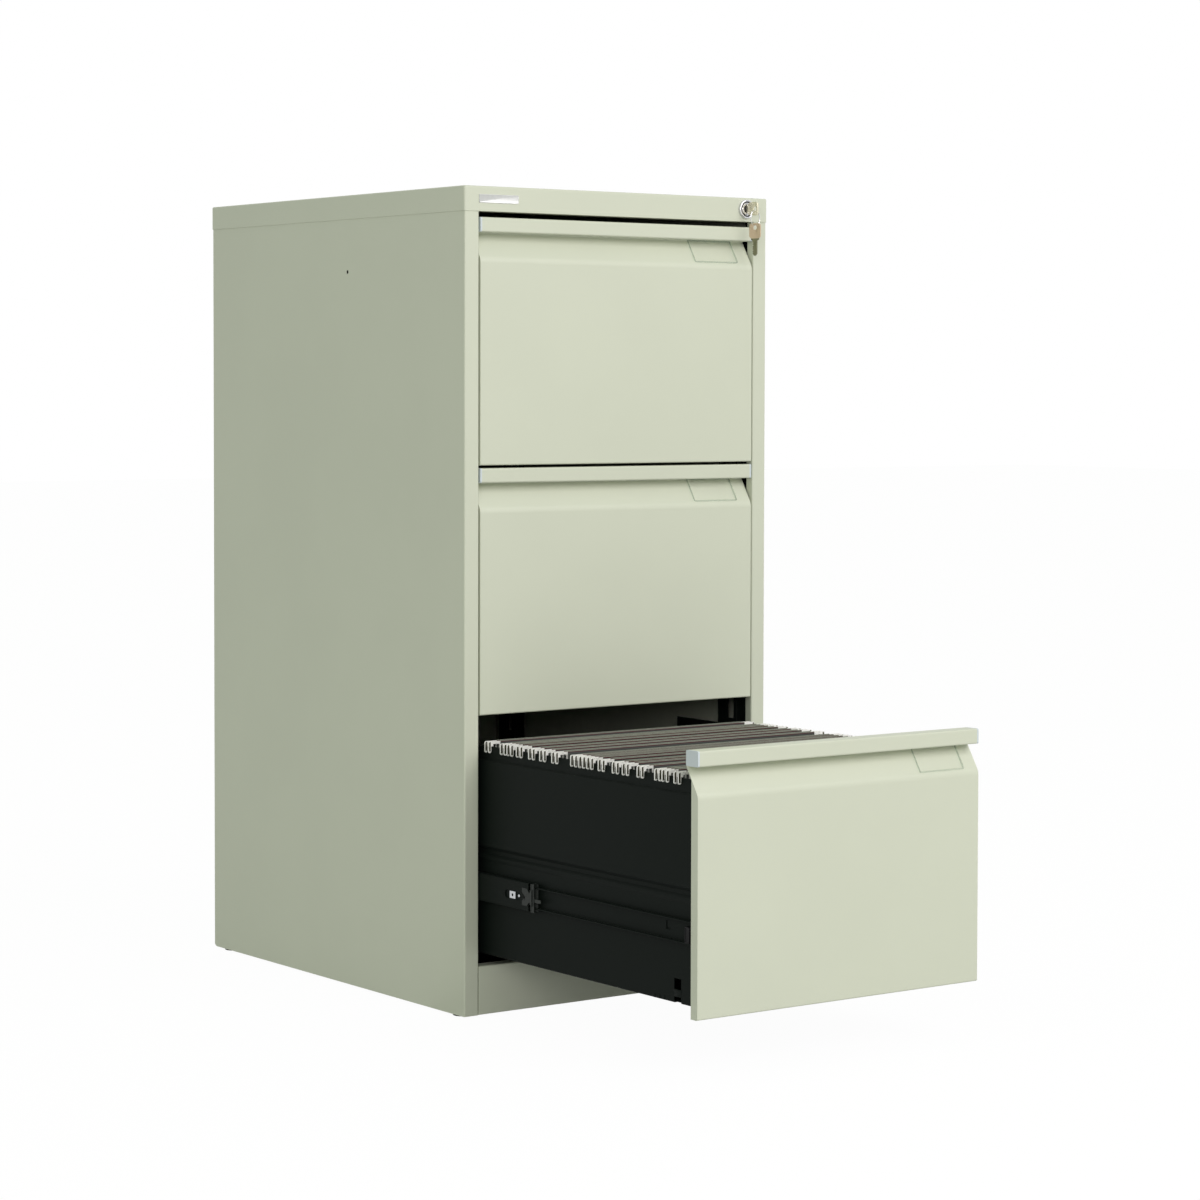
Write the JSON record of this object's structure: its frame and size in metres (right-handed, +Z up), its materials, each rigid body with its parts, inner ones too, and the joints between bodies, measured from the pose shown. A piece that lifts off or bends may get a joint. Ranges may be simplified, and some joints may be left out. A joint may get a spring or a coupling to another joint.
{
  "type": "filing cabinet",
  "caption": "Steel filing cabinet with drawers on telescopic slides, finger-recess fronts, a top lock with keys, and hanging files in the drawn-out bottom drawer.",
  "frame": {"origin": "on the floor, midway between the sides and midway between the front and back of the cabinet's cap", "axes": "+X to the right of the front, +Y from the front to the back, +Z up"},
  "size_m": [0.47, 1.055, 1.016],
  "materials": {
    "shell_paint": "pale grey-green powder coat, fine texture, semi-matt",
    "black_paint": "black powder coat, semi-matt",
    "black_plastic": "moulded black nylon",
    "white_plastic": "moulded off-white plastic",
    "clear_plastic": "clear extruded plastic",
    "ball_steel": "bright zinc-plated or polished steel",
    "lock_chrome": "bright chrome plate",
    "key_brass": "nickel-washed brass",
    "hanger_steel": "nickel-plated steel strip",
    "pocket_card": "grey-green file card",
    "plate_satin": "plain satin plate"
  },
  "bodies": {
    "cabinet": {"side_panel_left": "shell_paint", "side_panel_right": "shell_paint", "back_panel": "shell_paint", "top_cap": "shell_paint", "lock_rail": "shell_paint", "plinth_panel": "shell_paint", "base_tray": "black_paint", "front_posts": "black_paint", "rear_posts": "black_paint", "cabinet_runners": "black_paint", "glide_feet": "black_plastic", "lock_housing": "lock_chrome", "lock_rod_guides": "black_paint", "badge_plate": "plate_satin"},
    "drawer_1": {"drawer_1_front": "shell_paint", "drawer_1_end_caps": "white_plastic", "drawer_1_label_sleeve": "clear_plastic", "drawer_1_inner_front": "black_paint", "drawer_1_side_left": "black_paint", "drawer_1_side_right": "black_paint", "drawer_1_floor": "black_paint", "drawer_1_back": "black_paint", "drawer_1_runners": "black_paint", "drawer_1_latch_tab": "black_paint"},
    "slides_1": {"drawer_1_slides": "black_paint", "drawer_1_retainers": "black_plastic", "drawer_1_balls": "ball_steel"},
    "drawer_2": {"drawer_2_front": "shell_paint", "drawer_2_end_caps": "white_plastic", "drawer_2_label_sleeve": "clear_plastic", "drawer_2_inner_front": "black_paint", "drawer_2_side_left": "black_paint", "drawer_2_side_right": "black_paint", "drawer_2_floor": "black_paint", "drawer_2_back": "black_paint", "drawer_2_runners": "black_paint", "drawer_2_latch_tab": "black_paint"},
    "slides_2": {"drawer_2_slides": "black_paint", "drawer_2_retainers": "black_plastic", "drawer_2_balls": "ball_steel"},
    "drawer_3": {"drawer_3_front": "shell_paint", "drawer_3_end_caps": "white_plastic", "drawer_3_label_sleeve": "clear_plastic", "drawer_3_inner_front": "black_paint", "drawer_3_side_left": "black_paint", "drawer_3_side_right": "black_paint", "drawer_3_floor": "black_paint", "drawer_3_back": "black_paint", "drawer_3_runners": "black_paint", "drawer_3_latch_tab": "black_paint", "file_hangers": "hanger_steel", "file_pockets": "pocket_card"},
    "slides_3": {"drawer_3_slides": "black_paint", "drawer_3_retainers": "black_plastic", "drawer_3_balls": "ball_steel"},
    "lock_barrel": {"lock_barrel": "lock_chrome", "lock_cam": "ball_steel", "key_in_lock": "key_brass"},
    "lock_rod": {"lock_rod": "black_paint"},
    "key_ring": {"key_ring": "ball_steel"}
  },
  "joints": [
    {"name": "drawer_1_slide", "type": "slide", "parent": "cabinet", "child": "drawer_1", "axis": [0, -1, 0], "range_m": [0, 0.53]},
    {"name": "drawer_1_carriage", "type": "slide", "parent": "cabinet", "child": "slides_1", "axis": [0, -1, 0], "range_m": [0, 0.1768]},
    {"name": "drawer_2_slide", "type": "slide", "parent": "cabinet", "child": "drawer_2", "axis": [0, -1, 0], "range_m": [0, 0.53]},
    {"name": "drawer_2_carriage", "type": "slide", "parent": "cabinet", "child": "slides_2", "axis": [0, -1, 0], "range_m": [0, 0.1768]},
    {"name": "drawer_3_slide", "type": "slide", "parent": "cabinet", "child": "drawer_3", "axis": [0, -1, 0], "range_m": [-0.434, 0.096]},
    {"name": "drawer_3_carriage", "type": "slide", "parent": "cabinet", "child": "slides_3", "axis": [0, -1, 0], "range_m": [-0.1448, 0.0321]},
    {"name": "lock_turn", "type": "hinge", "parent": "cabinet", "child": "lock_barrel", "pos_m": [0.2, -0.31, 1.0015], "axis": [0, -1, 0], "range_deg": [0, 90]},
    {"name": "lock_rod_lift", "type": "slide", "parent": "cabinet", "child": "lock_rod", "axis": [0, 0, 1], "range_m": [0, 0.00849]},
    {"name": "key_ring_swing", "type": "hinge", "parent": "lock_barrel", "child": "key_ring", "pos_m": [0.2, -0.33, 1.0015], "axis": [1, 0, 0], "range_deg": [-50, 12]}
  ],
  "couplings": [
    {"joint": "drawer_1_carriage", "follows": "drawer_1_slide", "ratio": 0.33333},
    {"joint": "drawer_2_carriage", "follows": "drawer_2_slide", "ratio": 0.33333},
    {"joint": "drawer_3_carriage", "follows": "drawer_3_slide", "ratio": 0.33333},
    {"joint": "lock_turn", "follows": "lock_rod_lift", "rad_per_m": 185.12}
  ]
}
